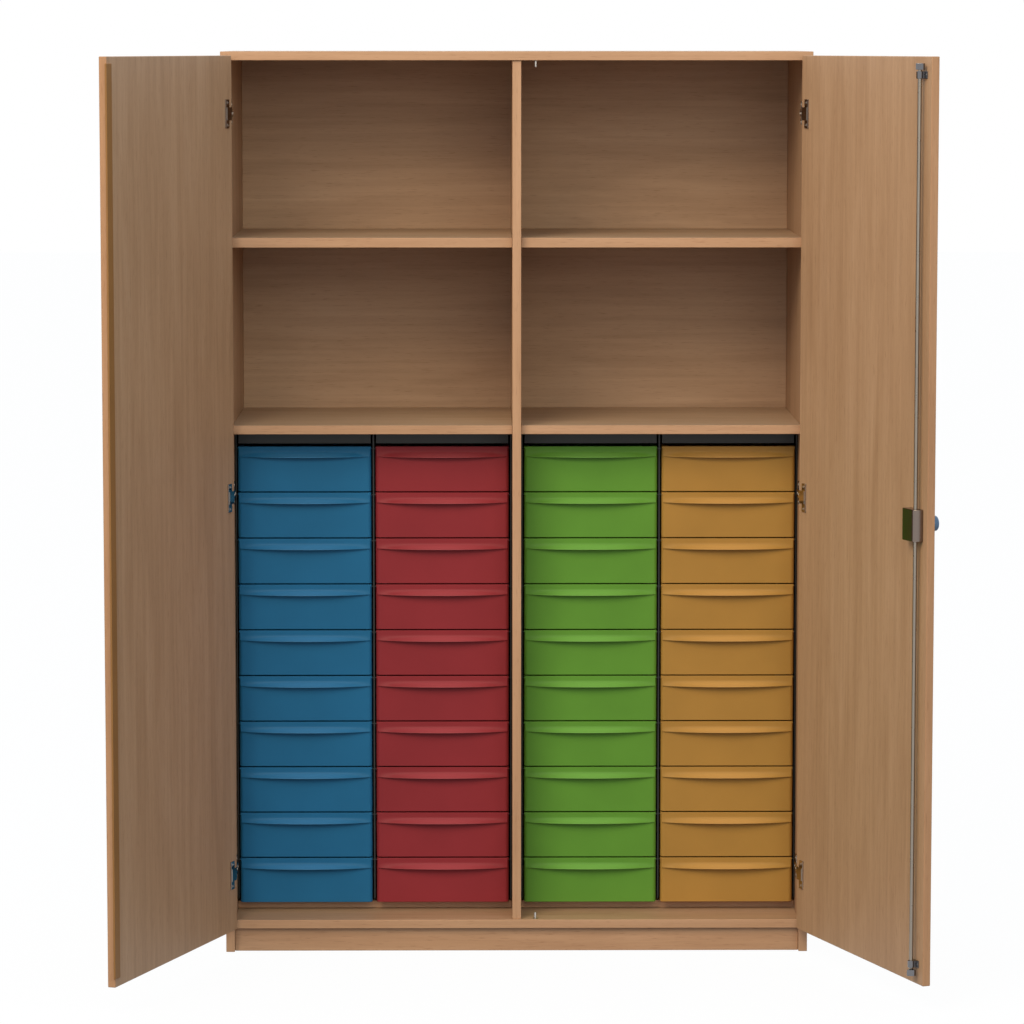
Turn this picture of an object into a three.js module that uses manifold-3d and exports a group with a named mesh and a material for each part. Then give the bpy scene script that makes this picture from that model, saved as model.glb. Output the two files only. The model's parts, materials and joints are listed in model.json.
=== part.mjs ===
// Classroom tray cupboard: a tall two-door cabinet in beech-faced board. A centre divider makes two
// bays. Each bay has two open shelf compartments above a rack of moulded trays, two columns wide.
// Millimetres, +Z up, +Y towards the back. The doors stand open, the trays are pushed in, and the
// origin is on the floor under the middle of the plinth board.

import * as THREE from 'three';
import { mergeVertices } from 'three/addons/utils/BufferGeometryUtils.js';
import Module from 'manifold-3d';

const wasm = await Module();
wasm.setup();

// Carcass
const width = 1200;
const height = 1850;
const depth = 482;
const board = 18;
const shelfBoard = 20;
const backBoard = 8;
const seatGap = 0.1;
const plinthHeight = 49;
const plinthRecess = 12;
const shelfSetback = 25;
const dividerSetback = 5;
const trayBayHeight = 1004;
const lowerShelfSpace = 363.5;
const baseRailSetback = 130;
const baseRailHeight = 15;

// Doors, on three concealed cup hinges each
const doorBoard = 16;
const doorGap = 2;
const doorSideReveal = 1;
const doorMeetingGap = 2;
const doorTopReveal = 8;
const doorFootReveal = 3;
const doorOpenAngle = 110;
const stripWidth = 24;
const stripThickness = 4;
const stripOverhang = 9;
const stripEndGap = 1.5;
const stripRelief = 0.5;

// Hinges
const hingeAxisInset = 7;
const hingeAxisDepth = 16;
const hingeEndInset = 117;
const cupInset = 24;
const cupRadius = 17.5;
const cupWall = 1.5;
const cupDepth = 11;
const cupFlange = 1.5;
const wingHeight = 60;
const wingWidth = 15;
const hingeArmLength = 66;
const hingeArmHeight = 16;
const hingeArmThickness = 4.5;
const hingePlateHeight = 48;
const hingePlateLength = 26;
const hingePlateThickness = 2.5;

// Rod lock on the right door
const rodDiameter = 8;
const rodInset = 30;
const rodStandoff = 11;
const runningGap = 0.3;
const clawHeight = 12;
const clawGap = 3;
const clawWall = 2;
const clawArc = 70;
const clawArmArc = 18;
const clawRootRadius = 3;
const clawTurn = 90;
const pinDiameter = 5;
const pinLength = 14;
const pinAngle = 25;
const pinSlack = 1.5;
const pinBaseDiameter = 14;
const pinBaseThickness = 2;
const guideHeight = 14;
const guideWall = 2.5;
const guideFootWidth = 26;
const guideFootThickness = 2.5;
const caseHeight = 62;
const caseFreeEnd = 18;
const caseLength = 52;
const caseDepth = 20;
const caseRound = 9;
const spindleDiameter = 8;
const spindleInset = 52;
const spindleEngagement = 14;
const rosetteDiameter = 40;
const rosetteThickness = 3;
const knobDiameter = 30;
const knobReach = 25;
const knobNeckDiameter = 16;
const knobHeadLength = 15;
const knobEdge = 3;

// Tray racks, one in each bay, and the valances that hang in front of them under the fixed shelf
const rackGap = 1.8;
const rackWall = 2;
const rackMiddleWall = 3;
const rackRearGap = 3;
const rackFoot = 5;
const rackBar = 22;
const valanceSetback = 12;
const valanceGap = 5;
const valanceThickness = 2;
const valanceEndGap = 4;
const ledgeDepth = 11;
const ledgeThickness = 2;
const rideGap = 0.3;

// Trays
const trayRows = 10;
const trayColours = { blue: 0x245d82, red: 0x8c2f33, green: 0x558731, orange: 0xb07f36 };
const trayFrontSetback = 100;
const trayRearGap = 9;
const trayFloorGap = 17.5;
const trayHeadroom = 29.5;
const trayGap = 2.2;
const traySideGap = 3;
const frontWall = 3;
const frontCorner = 8;
const frontReturn = 12;
const tubWall = 2.4;
const tubDraft = 5;
const tubSideGap = 2;
const tubRearCorner = 18;
const tubLift = 1.5;
const rimDrop = 1.5;
const rimThickness = 3;
const rimSideGap = 0.5;
const rimFrontGap = 1;
const rimRear = 8;
const lipReach = 14;
const lipEndReach = 3;
const lipTopReach = 1;
const lipEndInset = 3;
const lipHeight = 22;
const lipWall = 2.5;

// Smoothness of round forms, and the margins that joins and cuts are made with
const roundSides = 12;
const lipSteps = 6;
const cornerSteps = 2;
const cutMargin = 1;
const weldDistance = 0.0001;

// Levels and faces that follow from the sizes above
const halfWidth = width / 2;
const innerHalf = halfWidth - board;
const innerDepth = depth - backBoard;
const sideTop = height - board;
const bottomTop = plinthHeight + board;
const fixedShelfUnderside = bottomTop + trayBayHeight;
const fixedShelfTop = fixedShelfUnderside + board;
const upperShelfUnderside = fixedShelfTop + lowerShelfSpace;
const bayInner = board / 2;
const bayWidth = innerHalf - bayInner;
const bayCentre = bayInner + bayWidth / 2;

const doorBottom = plinthHeight + doorFootReveal;
const doorTop = height - doorTopReveal;
const doorMiddle = (doorBottom + doorTop) / 2;
const doorFreeEdge = doorMeetingGap / 2;
const doorHingeEdge = halfWidth - doorSideReveal;
const doorInnerFace = -doorGap;
const doorOuterFace = doorInnerFace - doorBoard;
const hingeAxisX = halfWidth - hingeAxisInset;
const hingeAxisY = doorInnerFace - hingeAxisDepth;
const hingeLevels = [doorBottom + hingeEndInset, doorMiddle, doorTop - hingeEndInset];

const rodX = doorFreeEdge + rodInset;
const rodY = doorInnerFace + rodStandoff;
const rodBore = rodDiameter / 2 + runningGap;
const spindleX = doorFreeEdge + spindleInset;
const spindleBore = spindleDiameter / 2 + runningGap;
const pinCentreRadius = rodDiameter / 2 + pinSlack + pinDiameter / 2;
const clawInner = pinCentreRadius + pinDiameter / 2 + runningGap;
const clawOuter = clawInner + clawWall;
const clawTop = sideTop - clawGap;
const clawBottom = bottomTop + clawGap;
const caseMiddle = doorMiddle;

const columnWidth = (bayWidth - 2 * rackGap - 2 * rackWall - rackMiddleWall) / 2;
const columnOffset = (columnWidth + rackMiddleWall) / 2;
const trayPitch = (trayBayHeight - trayFloorGap - trayHeadroom) / trayRows;
const trayHeight = trayPitch - trayGap;
const trayWidth = columnWidth - 2 * traySideGap;
const trayLength = innerDepth - trayFrontSetback - trayRearGap;
const trayBase = bottomTop + trayFloorGap;
const rimTop = trayHeight - rimDrop;
const rimUnderside = rimTop - rimThickness;
const ledgeTop = rimUnderside - rideGap;
const valanceFront = trayFrontSetback + valanceSetback;
const rackFront = valanceFront + valanceThickness + rideGap;
const rackRear = innerDepth - rackRearGap;

const radians = THREE.MathUtils.degToRad;

// A closed geometry as a solid that can be joined and cut.
function solid(geometry) {
  const bare = geometry.clone();
  bare.deleteAttribute('normal');
  bare.deleteAttribute('uv');
  const welded = mergeVertices(bare, weldDistance);
  return new wasm.Manifold(new wasm.Mesh({
    numProp: 3,
    vertProperties: new Float32Array(welded.attributes.position.array),
    triVerts: new Uint32Array(welded.index.array),
  }));
}

function geometryOf(body) {
  const mesh = body.getMesh();
  const geometry = new THREE.BufferGeometry();
  geometry.setAttribute('position', new THREE.BufferAttribute(mesh.vertProperties, 3));
  geometry.setIndex(new THREE.BufferAttribute(mesh.triVerts, 1));
  geometry.computeVertexNormals();
  return geometry;
}

// A rectangular block between two limits on each axis.
function block([x0, x1], [y0, y1], [z0, z1]) {
  const geometry = new THREE.BoxGeometry(x1 - x0, y1 - y0, z1 - z0);
  return geometry.translate((x0 + x1) / 2, (y0 + y1) / 2, (z0 + z1) / 2);
}

// A plan outline carried up from one level to another.
function prism(shape, z0, z1, curveSegments) {
  const geometry = new THREE.ExtrudeGeometry(shape, { depth: z1 - z0, bevelEnabled: false, curveSegments });
  return geometry.translate(0, 0, z0);
}

// An upright round bar.
function post(x, y, radius, z0, z1) {
  const geometry = new THREE.CylinderGeometry(radius, radius, z1 - z0, roundSides);
  return geometry.rotateX(Math.PI / 2).translate(x, y, (z0 + z1) / 2);
}

// A round bar that runs from front to back.
function spindle(x, z, radius, y0, y1) {
  const geometry = new THREE.CylinderGeometry(radius, radius, y1 - y0, roundSides);
  return geometry.translate(x, (y0 + y1) / 2, z);
}

// A closed skin over two level loops with equal counts of points, each loop counter-clockwise from above.
function loft(lower, upper) {
  const count = lower.length;
  const index = [];
  for (let i = 0; i < count; i += 1) {
    const next = (i + 1) % count;
    index.push(i, next, count + next, i, count + next, count + i);
  }
  for (let i = 1; i < count - 1; i += 1) {
    index.push(0, i + 1, i, count, count + i, count + i + 1);
  }
  const geometry = new THREE.BufferGeometry();
  const points = [...lower, ...upper].flatMap((point) => point.toArray());
  geometry.setAttribute('position', new THREE.Float32BufferAttribute(points, 3));
  geometry.setIndex(index);
  return geometry;
}

function joined(bodies) {
  return bodies.reduce((whole, body) => whole.add(body));
}

function part(name, geometry, material) {
  const mesh = new THREE.Mesh(geometry, material.clone());
  mesh.name = name;
  return mesh;
}

const beech = new THREE.MeshStandardMaterial({ color: 0xbe9169, roughness: 0.55, metalness: 0 });
const darkEdge = new THREE.MeshStandardMaterial({ color: 0x84603f, roughness: 0.5, metalness: 0 });
const nickel = new THREE.MeshStandardMaterial({ color: 0xb4b0aa, roughness: 0.3, metalness: 1 });
const blackSteel = new THREE.MeshStandardMaterial({ color: 0x1d1d1b, roughness: 0.6, metalness: 0.3 });
const knobGrey = new THREE.MeshStandardMaterial({ color: 0x5f7389, roughness: 0.35, metalness: 0.6 });

const cupboard = new THREE.Group();
cupboard.position.y = -(plinthRecess + board / 2);

// Side panel with the three hinge arms and their mounting plates on its inner face. side is -1 or 1.
function sidePanel(side) {
  const across = (a, b) => [side * a, side * b].sort((p, q) => p - q);
  const panel = solid(block(across(innerHalf, halfWidth), [0, depth], [0, sideTop - seatGap]));
  const fittings = hingeLevels.flatMap((level) => {
    const plate = block(
      across(innerHalf - hingePlateThickness, innerHalf + seatGap),
      [hingeArmLength - hingePlateLength, hingeArmLength],
      [level - hingePlateHeight / 2, level + hingePlateHeight / 2],
    );
    const arm = block(
      across(innerHalf - hingeArmThickness, innerHalf + seatGap),
      [doorGap, hingeArmLength],
      [level - hingeArmHeight / 2, level + hingeArmHeight / 2],
    );
    return [solid(plate), solid(arm)];
  });
  return geometryOf(joined([panel, ...fittings]));
}

// The pin that the lock's claw hooks round stands on a small round base.
function strike(panelFace, direction) {
  const x = rodX + pinCentreRadius * Math.cos(radians(pinAngle));
  const y = rodY + pinCentreRadius * Math.sin(radians(pinAngle));
  const upright = (radius, from, to) => solid(post(x, y, radius, Math.min(from, to), Math.max(from, to)));
  const root = panelFace - direction * seatGap;
  const pin = upright(pinDiameter / 2, root, panelFace + direction * pinLength);
  const base = upright(pinBaseDiameter / 2, root, panelFace + direction * pinBaseThickness);
  return pin.add(base);
}

const between = [-innerHalf + seatGap, innerHalf - seatGap];
const acrossBay = (side) => [side * (bayInner + seatGap), side * (innerHalf - seatGap)].sort((p, q) => p - q);
const topPanel = solid(block([-halfWidth, halfWidth], [0, depth], [sideTop, height]));
const bottomBoard = block(between, [0, innerDepth - seatGap], [plinthHeight, bottomTop]);

// A rail across each bay closes most of the gap under the lowest trays. It is glued to the bottom board.
const baseRails = [-1, 1].map((side) => block(
  acrossBay(side),
  [baseRailSetback, baseRailSetback + board],
  [bottomTop - seatGap, bottomTop + baseRailHeight],
));
const bottomPanel = joined([bottomBoard, ...baseRails].map(solid));

cupboard.add(
  part('side_left', sidePanel(-1), beech),
  part('side_right', sidePanel(1), beech),
  part('top_panel', geometryOf(topPanel.add(strike(sideTop, -1))), beech),
  part('bottom_panel', geometryOf(bottomPanel.add(strike(bottomTop, 1))), beech),
  part('back_panel', block(between, [innerDepth, depth], [plinthHeight, sideTop - seatGap]), beech),
  part('plinth', block(between, [plinthRecess, plinthRecess + board], [0, plinthHeight - seatGap]), beech),
  part('centre_divider', block(
    [-board / 2, board / 2],
    [dividerSetback, innerDepth - seatGap],
    [bottomTop + seatGap, sideTop - seatGap],
  ), beech),
);

// Shelves of one bay: a fixed one over the trays, and a thicker adjustable one above it.
function shelf(side, underside, thickness) {
  return block(acrossBay(side), [shelfSetback, innerDepth - seatGap], [underside, underside + thickness]);
}

// The fixed shelf carries a valance over each column of trays, screwed up under it.
function trayBayShelf(side) {
  const valances = [-columnOffset, columnOffset].map((column) => {
    const centre = side * bayCentre + column;
    const half = columnWidth / 2 - valanceEndGap;
    return block(
      [centre - half, centre + half],
      [valanceFront, valanceFront + valanceThickness],
      [trayBase + trayRows * trayPitch - trayGap + valanceGap, fixedShelfUnderside + seatGap],
    );
  });
  return geometryOf(joined([shelf(side, fixedShelfUnderside, board), ...valances].map(solid)));
}

for (const [name, side] of [['left', -1], ['right', 1]]) {
  cupboard.add(
    part(`tray_bay_shelf_${name}`, trayBayShelf(side), beech),
    part(`upper_shelf_${name}`, shelf(side, upperShelfUnderside, shelfBoard), beech),
  );
}

// Rack of one bay, folded from sheet: three uprights, tied at the rear by a bar at the top and one at the
// foot. The section of an upright, with a ledge for every tray rim, is carried from front to rear.
function trayRack(side) {
  const half = columnOffset + columnWidth / 2 + rackWall;
  const middle = rackMiddleWall / 2;
  const foot = trayBase + rackFoot;
  const top = fixedShelfUnderside - seatGap;
  const edge = (x, reach) => {
    const points = [[x, foot]];
    for (let row = 0; reach && row < trayRows; row += 1) {
      const level = trayBase + row * trayPitch + ledgeTop;
      const under = level - ledgeThickness;
      points.push([x, under], [x + reach, under], [x + reach, level], [x, level]);
    }
    return [...points, [x, top]];
  };
  const upright = (left, right) => {
    const outline = [...right, ...left.reverse()].map(([across, level]) => new THREE.Vector2(across, level));
    const depth = rackRear - rackFront;
    const sheet = new THREE.ExtrudeGeometry(new THREE.Shape(outline), { depth, bevelEnabled: false });
    return sheet.rotateX(Math.PI / 2).translate(0, rackRear, 0);
  };
  const bar = (low) => block(
    [rackWall / 2 - half, half - rackWall / 2],
    [rackRear - rackWall, rackRear - seatGap],
    [low, low + rackBar],
  );
  const bodies = [
    upright(edge(-half, 0), edge(rackWall - half, ledgeDepth)),
    upright(edge(-middle, -ledgeDepth), edge(middle, ledgeDepth)),
    upright(edge(half - rackWall, -ledgeDepth), edge(half, 0)),
    bar(foot + rackWall), bar(top - rackWall - rackBar),
  ];
  return geometryOf(joined(bodies.map(solid))).translate(side * bayCentre, 0, 0);
}

cupboard.add(
  part('tray_rack_left', trayRack(-1), blackSteel),
  part('tray_rack_right', trayRack(1), blackSteel),
);

// Plan loop of the tub: square at the front, where the tray's face closes it, and round at the rear.
function tubLoop(halfSpan, front, rear, corner, level) {
  const points = [new THREE.Vector3(-halfSpan, front, level), new THREE.Vector3(halfSpan, front, level)];
  for (const [x, start] of [[halfSpan - corner, 0], [corner - halfSpan, Math.PI / 2]]) {
    for (let step = 0; step <= cornerSteps; step += 1) {
      const angle = start + (step / cornerSteps) * (Math.PI / 2);
      const y = rear - corner + corner * Math.sin(angle);
      points.push(new THREE.Vector3(x + corner * Math.cos(angle), y, level));
    }
  }
  return points;
}

// Plan outline of the tray's face: flat, with round corners that turn back along the sides.
function faceOutline() {
  const half = trayWidth / 2;
  const flat = half - frontCorner;
  const inner = frontCorner - frontWall;
  const shape = new THREE.Shape();
  shape.moveTo(-half, frontReturn);
  shape.absarc(-flat, frontCorner, frontCorner, Math.PI, 1.5 * Math.PI, false);
  shape.absarc(flat, frontCorner, frontCorner, 1.5 * Math.PI, 2 * Math.PI, false);
  shape.lineTo(half, frontReturn);
  shape.lineTo(half - frontWall, frontReturn);
  shape.absarc(flat, frontCorner, inner, 0, -0.5 * Math.PI, true);
  shape.absarc(-flat, frontCorner, inner, -0.5 * Math.PI, -Math.PI, true);
  shape.lineTo(frontWall - half, frontReturn);
  return shape;
}

// Loop of the finger lip at one level: straight at the back, and bowed forward to the reach at its middle.
function lipLoop(half, back, end, reach, level) {
  const bow = [];
  for (let step = 0; step <= lipSteps; step += 1) {
    const across = (2 * step) / lipSteps - 1;
    bow.push(new THREE.Vector3(half * across, -end - (reach - end) * (1 - across ** 2), level));
  }
  return [...bow, new THREE.Vector3(half, back, level), new THREE.Vector3(-half, back, level)];
}

// One moulded tray: a drafted open tub, a flat rim that rides on the ledges, a face across the front
// and a hollow finger lip. Its own origin is at the foot of the face, on the centre line.
function trayGeometry() {
  const tubHalf = columnWidth / 2 - ledgeDepth - tubSideGap;
  const rimHalf = trayWidth / 2 - rimSideGap;
  const rimFront = frontReturn + rimFrontGap;
  const tubRear = trayLength - rimRear;
  const slope = tubDraft / (rimTop - tubLift);
  const tub = loft(
    tubLoop(tubHalf - tubDraft, frontWall / 2, tubRear - tubDraft, tubRearCorner, tubLift),
    tubLoop(tubHalf, frontWall / 2, tubRear, tubRearCorner, rimTop),
  );
  const rim = loft(
    tubLoop(rimHalf, rimFront, trayLength, tubRearCorner, rimUnderside),
    tubLoop(rimHalf, rimFront, trayLength, tubRearCorner, rimTop),
  );
  const innerAt = (level) => tubLoop(
    tubHalf - tubWall - slope * (rimTop - level),
    frontWall,
    tubRear - tubWall - slope * (rimTop - level),
    tubRearCorner - tubWall,
    level,
  );
  const hollow = loft(innerAt(tubLift + tubWall), innerAt(trayHeight + tubWall));
  const face = prism(faceOutline(), 0, trayHeight, cornerSteps / 2);
  const lipHalf = trayWidth / 2 - lipEndInset;
  const lipFoot = trayHeight - lipHeight;
  const lip = loft(
    lipLoop(lipHalf, frontWall / 2, lipEndReach, lipReach, lipFoot),
    lipLoop(lipHalf, frontWall / 2, lipTopReach, lipTopReach, trayHeight),
  );
  const grip = loft(
    lipLoop(lipHalf - lipWall, 0, lipEndReach - lipWall, lipReach - lipWall, lipFoot - cutMargin),
    lipLoop(lipHalf - lipWall, 0, lipTopReach / 4, lipTopReach / 2, trayHeight - 2 * lipWall),
  );
  const outside = joined([tub, rim, face, lip].map(solid));
  return geometryOf(outside.subtract(solid(hollow)).subtract(solid(grip)));
}

// Four columns of trays, two in each bay, numbered from the top of each column.
const tray = trayGeometry();
Object.entries(trayColours).forEach(([colour, color], column) => {
  const side = column < 2 ? -1 : 1;
  const inBay = column % 2 === 0 ? -1 : 1;
  const finish = new THREE.MeshStandardMaterial({ color, roughness: 0.45, metalness: 0 });
  for (let row = 0; row < trayRows; row += 1) {
    const number = String(trayRows - row).padStart(2, '0');
    const mesh = part(`tray_${colour}_${number}`, tray, finish);
    mesh.position.x = side * bayCentre + inBay * columnOffset;
    mesh.position.y = trayFrontSetback;
    mesh.position.z = trayBase + row * trayPitch;
    cupboard.add(mesh);
  }
});

// Door leaf, closed, with its hinge cups let into the inner face and their screw wings on it.
function doorLeaf(side) {
  const across = (a, b) => [side * a, side * b].sort((p, q) => p - q);
  const thick = [doorOuterFace, doorInnerFace];
  let leaf = solid(block(across(doorFreeEdge, doorHingeEdge), thick, [doorBottom, doorTop]));
  const cupX = side * (doorHingeEdge - cupInset);
  const proud = doorInnerFace + cupFlange;
  for (const level of hingeLevels) {
    const wing = block(
      [cupX - wingWidth / 2, cupX + wingWidth / 2],
      [doorInnerFace - seatGap, proud],
      [level - wingHeight / 2, level + wingHeight / 2],
    );
    const rim = spindle(cupX, level, cupRadius, doorInnerFace - seatGap, proud);
    const hollow = spindle(cupX, level, cupRadius - cupWall, doorInnerFace - cupDepth, proud + cupFlange);
    leaf = leaf.add(solid(wing)).add(solid(rim)).subtract(solid(hollow));
  }
  return leaf;
}

// A door swings on the upright axis of its hinges. Its pieces are placed as for a closed door.
function doorGroup(side) {
  const hung = new THREE.Group();
  hung.position.set(side * hingeAxisX, hingeAxisY, 0);
  hung.rotation.z = side * radians(doorOpenAngle);
  const leaf = new THREE.Group();
  leaf.position.set(-side * hingeAxisX, -hingeAxisY, 0);
  hung.add(leaf);
  cupboard.add(hung);
  return leaf;
}

const leftDoor = doorGroup(-1);
const rightDoor = doorGroup(1);

// Left door, with a closing strip behind its free edge that the right door shuts against.
function closingStrip() {
  const tall = [bottomTop + stripEndGap, sideTop - stripEndGap];
  const held = stripOverhang - stripWidth - doorFreeEdge;
  const face = doorInnerFace + runningGap;
  const strip = solid(block([held, stripOverhang - doorFreeEdge], [face, face + stripThickness], tall));
  const relief = block([-doorFreeEdge, stripOverhang], [face - stripRelief, face + stripRelief], [0, height]);
  return geometryOf(strip.subtract(solid(relief)));
}

leftDoor.add(
  part('door_left', geometryOf(doorLeaf(-1)), beech),
  part('closing_strip', closingStrip(), darkEdge),
);

// Guide for the lock rod: a foot screwed to the door and an eye that the rod turns in.
function rodGuide(z0, z1) {
  const eye = rodBore + guideWall;
  const root = doorInnerFace - seatGap;
  const foot = block(
    [rodX - guideFootWidth / 2, rodX + guideFootWidth / 2],
    [root, doorInnerFace + guideFootThickness],
    [z0, z1],
  );
  const neck = block([rodX - eye, rodX + eye], [root, rodY], [z0, z1]);
  const ring = post(rodX, rodY, eye, z0, z1);
  return joined([foot, neck, ring].map(solid));
}

function rightDoorLeaf() {
  const guides = [
    rodGuide(clawTop - clawHeight - clawGap - guideHeight, clawTop - clawHeight - clawGap),
    rodGuide(clawBottom + clawHeight + clawGap, clawBottom + clawHeight + clawGap + guideHeight),
  ];
  const rodWay = post(rodX, rodY, rodBore, doorBottom, doorTop);
  const through = [doorOuterFace - cutMargin, doorInnerFace + cutMargin];
  const spindleWay = spindle(spindleX, caseMiddle, spindleBore, ...through);
  return geometryOf(joined([doorLeaf(1), ...guides]).subtract(solid(rodWay)).subtract(solid(spindleWay)));
}

// Lock case: a plain box whose end by the door's free edge is round, bored for the rod and the spindle.
function lockCase() {
  const near = doorFreeEdge + caseFreeEnd;
  const far = near + caseLength;
  const foot = doorInnerFace + runningGap;
  const face = foot + caseDepth;
  const shape = new THREE.Shape();
  shape.moveTo(near, foot);
  shape.lineTo(far, foot);
  shape.lineTo(far, face);
  shape.lineTo(near + caseRound, face);
  shape.absarc(near + caseRound, face - caseRound, caseRound, Math.PI / 2, Math.PI, false);
  const low = caseMiddle - caseHeight / 2;
  const high = caseMiddle + caseHeight / 2;
  const housing = solid(prism(shape, low, high, roundSides / 4));
  const rodWay = post(rodX, rodY, rodBore, low - cutMargin, high + cutMargin);
  const engaged = foot + spindleEngagement + runningGap;
  const spindleWay = spindle(spindleX, caseMiddle, spindleBore, foot - cutMargin, engaged);
  return geometryOf(housing.subtract(solid(rodWay)).subtract(solid(spindleWay)));
}

// Claw at an end of the rod: a curved finger on an arm, turned away from the strike pin while unlocked.
function claw(z0, z1) {
  const locked = radians(pinAngle);
  const start = locked + radians(clawTurn);
  const armStart = start + radians(clawArc);
  const end = armStart + radians(clawArmArc);
  const shape = new THREE.Shape();
  shape.absarc(0, 0, clawOuter, start, end, false);
  shape.absarc(0, 0, clawRootRadius, end, armStart, true);
  shape.absarc(0, 0, clawInner, armStart, start, true);
  return solid(prism(shape, z0, z1, roundSides / 4).translate(rodX, rodY, 0));
}

// Rod with a claw at each end. It runs through the lock case and turns in the guides.
function lockRod() {
  const bar = solid(post(rodX, rodY, rodDiameter / 2, clawBottom, clawTop));
  const upper = claw(clawTop - clawHeight, clawTop);
  const lower = claw(clawBottom, clawBottom + clawHeight);
  return geometryOf(joined([bar, upper, lower]));
}

// Knob, turned in one piece with the spindle that reaches through the door into the lock case.
function lockKnob() {
  const root = rosetteThickness + runningGap;
  const tip = root + knobReach;
  const radius = knobDiameter / 2;
  const inner = -(doorBoard + runningGap + spindleEngagement);
  const profile = [
    [0, inner],
    [spindleDiameter / 2, inner],
    [spindleDiameter / 2, root],
    [knobNeckDiameter / 2, root],
    [knobNeckDiameter / 2, tip - knobHeadLength],
    [radius, tip - knobHeadLength + knobEdge],
    [radius, tip - knobEdge],
    [radius - knobEdge, tip],
    [0, tip],
  ].map(([r, y]) => new THREE.Vector2(r, y));
  const turned = new THREE.LatheGeometry(profile, roundSides);
  return turned.rotateX(Math.PI).translate(spindleX, doorOuterFace, caseMiddle);
}

function knobRosette() {
  const seat = doorOuterFace - runningGap / 2;
  const face = seat - rosetteThickness;
  const disc = solid(spindle(spindleX, caseMiddle, rosetteDiameter / 2, face, seat));
  const hole = spindle(spindleX, caseMiddle, spindleBore, face - cutMargin, seat + cutMargin);
  return geometryOf(disc.subtract(solid(hole)));
}

rightDoor.add(
  part('door_right', rightDoorLeaf(), beech),
  part('lock_case', lockCase(), nickel),
  part('lock_rod', lockRod(), nickel),
  part('lock_knob', lockKnob(), knobGrey),
  part('knob_rosette', knobRosette(), nickel),
);

const model = new THREE.Group();
model.add(cupboard);

export default model;
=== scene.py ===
import json
import math

import bmesh
import bpy
import numpy as np
from mathutils import Matrix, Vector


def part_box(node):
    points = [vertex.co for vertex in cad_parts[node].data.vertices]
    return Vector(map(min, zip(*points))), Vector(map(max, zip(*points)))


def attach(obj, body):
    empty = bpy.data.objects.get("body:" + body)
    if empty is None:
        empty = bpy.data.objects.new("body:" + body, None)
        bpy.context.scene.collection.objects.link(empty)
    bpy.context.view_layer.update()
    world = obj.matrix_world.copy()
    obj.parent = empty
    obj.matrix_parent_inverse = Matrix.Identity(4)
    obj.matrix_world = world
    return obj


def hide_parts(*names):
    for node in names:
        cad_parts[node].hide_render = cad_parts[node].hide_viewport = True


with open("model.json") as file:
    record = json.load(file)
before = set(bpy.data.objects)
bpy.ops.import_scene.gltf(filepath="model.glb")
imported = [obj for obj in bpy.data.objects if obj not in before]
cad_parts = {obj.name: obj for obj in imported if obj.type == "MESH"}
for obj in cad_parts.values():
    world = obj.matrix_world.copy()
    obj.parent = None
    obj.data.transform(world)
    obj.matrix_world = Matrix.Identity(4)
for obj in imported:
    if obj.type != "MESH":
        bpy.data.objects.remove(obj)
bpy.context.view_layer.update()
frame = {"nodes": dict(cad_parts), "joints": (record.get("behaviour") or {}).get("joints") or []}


# The viewpoint: a long lens level with the top of the cupboard and a hand's width left of its middle.
# It looks slightly down, so the shelf tops and the tops of the tray lips show.
view_lens = bpy.data.cameras.new("view")
view_lens.lens = 153.6
view_lens.sensor_width = 36.0
view_lens.clip_end = 60.0
view = bpy.data.objects.new("view", view_lens)
view.location = (-0.0765, -8.900, 1.8716)
view.rotation_euler = (math.radians(90.0 - 6.157), 0.0, math.radians(-0.43))
bpy.context.scene.collection.objects.link(view)
bpy.context.scene.camera = view
bpy.context.scene.view_settings.view_transform = "Standard"


# The studio: cool even daylight, one broad warm light high on the viewer's left, and a weaker one near the
# viewer. The world is plain white to the eye and in reflections.
def shader_node(tree, kind, values=None, **settings):
    """One node of a shader tree, with its input values and its settings."""
    made = tree.nodes.new(kind)
    for key, value in settings.items():
        setattr(made, key, value)
    for key, value in (values or {}).items():
        made.inputs[key].default_value = value
    return made


def seen_directly(tree):
    """1 for rays from the eye, from a mirror or through glass, and 0 for light that falls on the object."""
    rays = shader_node(tree, "ShaderNodeLightPath")
    first = shader_node(tree, "ShaderNodeMath", operation="MAXIMUM")
    tree.links.new(rays.outputs["Is Camera Ray"], first.inputs[0])
    tree.links.new(rays.outputs["Is Glossy Ray"], first.inputs[1])
    both = shader_node(tree, "ShaderNodeMath", operation="MAXIMUM")
    tree.links.new(first.outputs[0], both.inputs[0])
    tree.links.new(rays.outputs["Is Transmission Ray"], both.inputs[1])
    return both.outputs[0]


surroundings = bpy.data.worlds.new("surroundings")
surroundings.use_nodes = True
sky = surroundings.node_tree
sky.nodes.clear()
even_light = shader_node(sky, "ShaderNodeBackground", {"Color": (0.69, 0.83, 1.0, 1.0), "Strength": 1.02})
white_wall = shader_node(sky, "ShaderNodeBackground", {"Color": (1.0, 1.0, 1.0, 1.0), "Strength": 1.0})
sky_choice = shader_node(sky, "ShaderNodeMixShader")
sky.links.new(seen_directly(sky), sky_choice.inputs[0])
sky.links.new(even_light.outputs[0], sky_choice.inputs[1])
sky.links.new(white_wall.outputs[0], sky_choice.inputs[2])
sky.links.new(sky_choice.outputs[0], shader_node(sky, "ShaderNodeOutputWorld").inputs[0])
bpy.context.scene.world = surroundings


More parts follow.
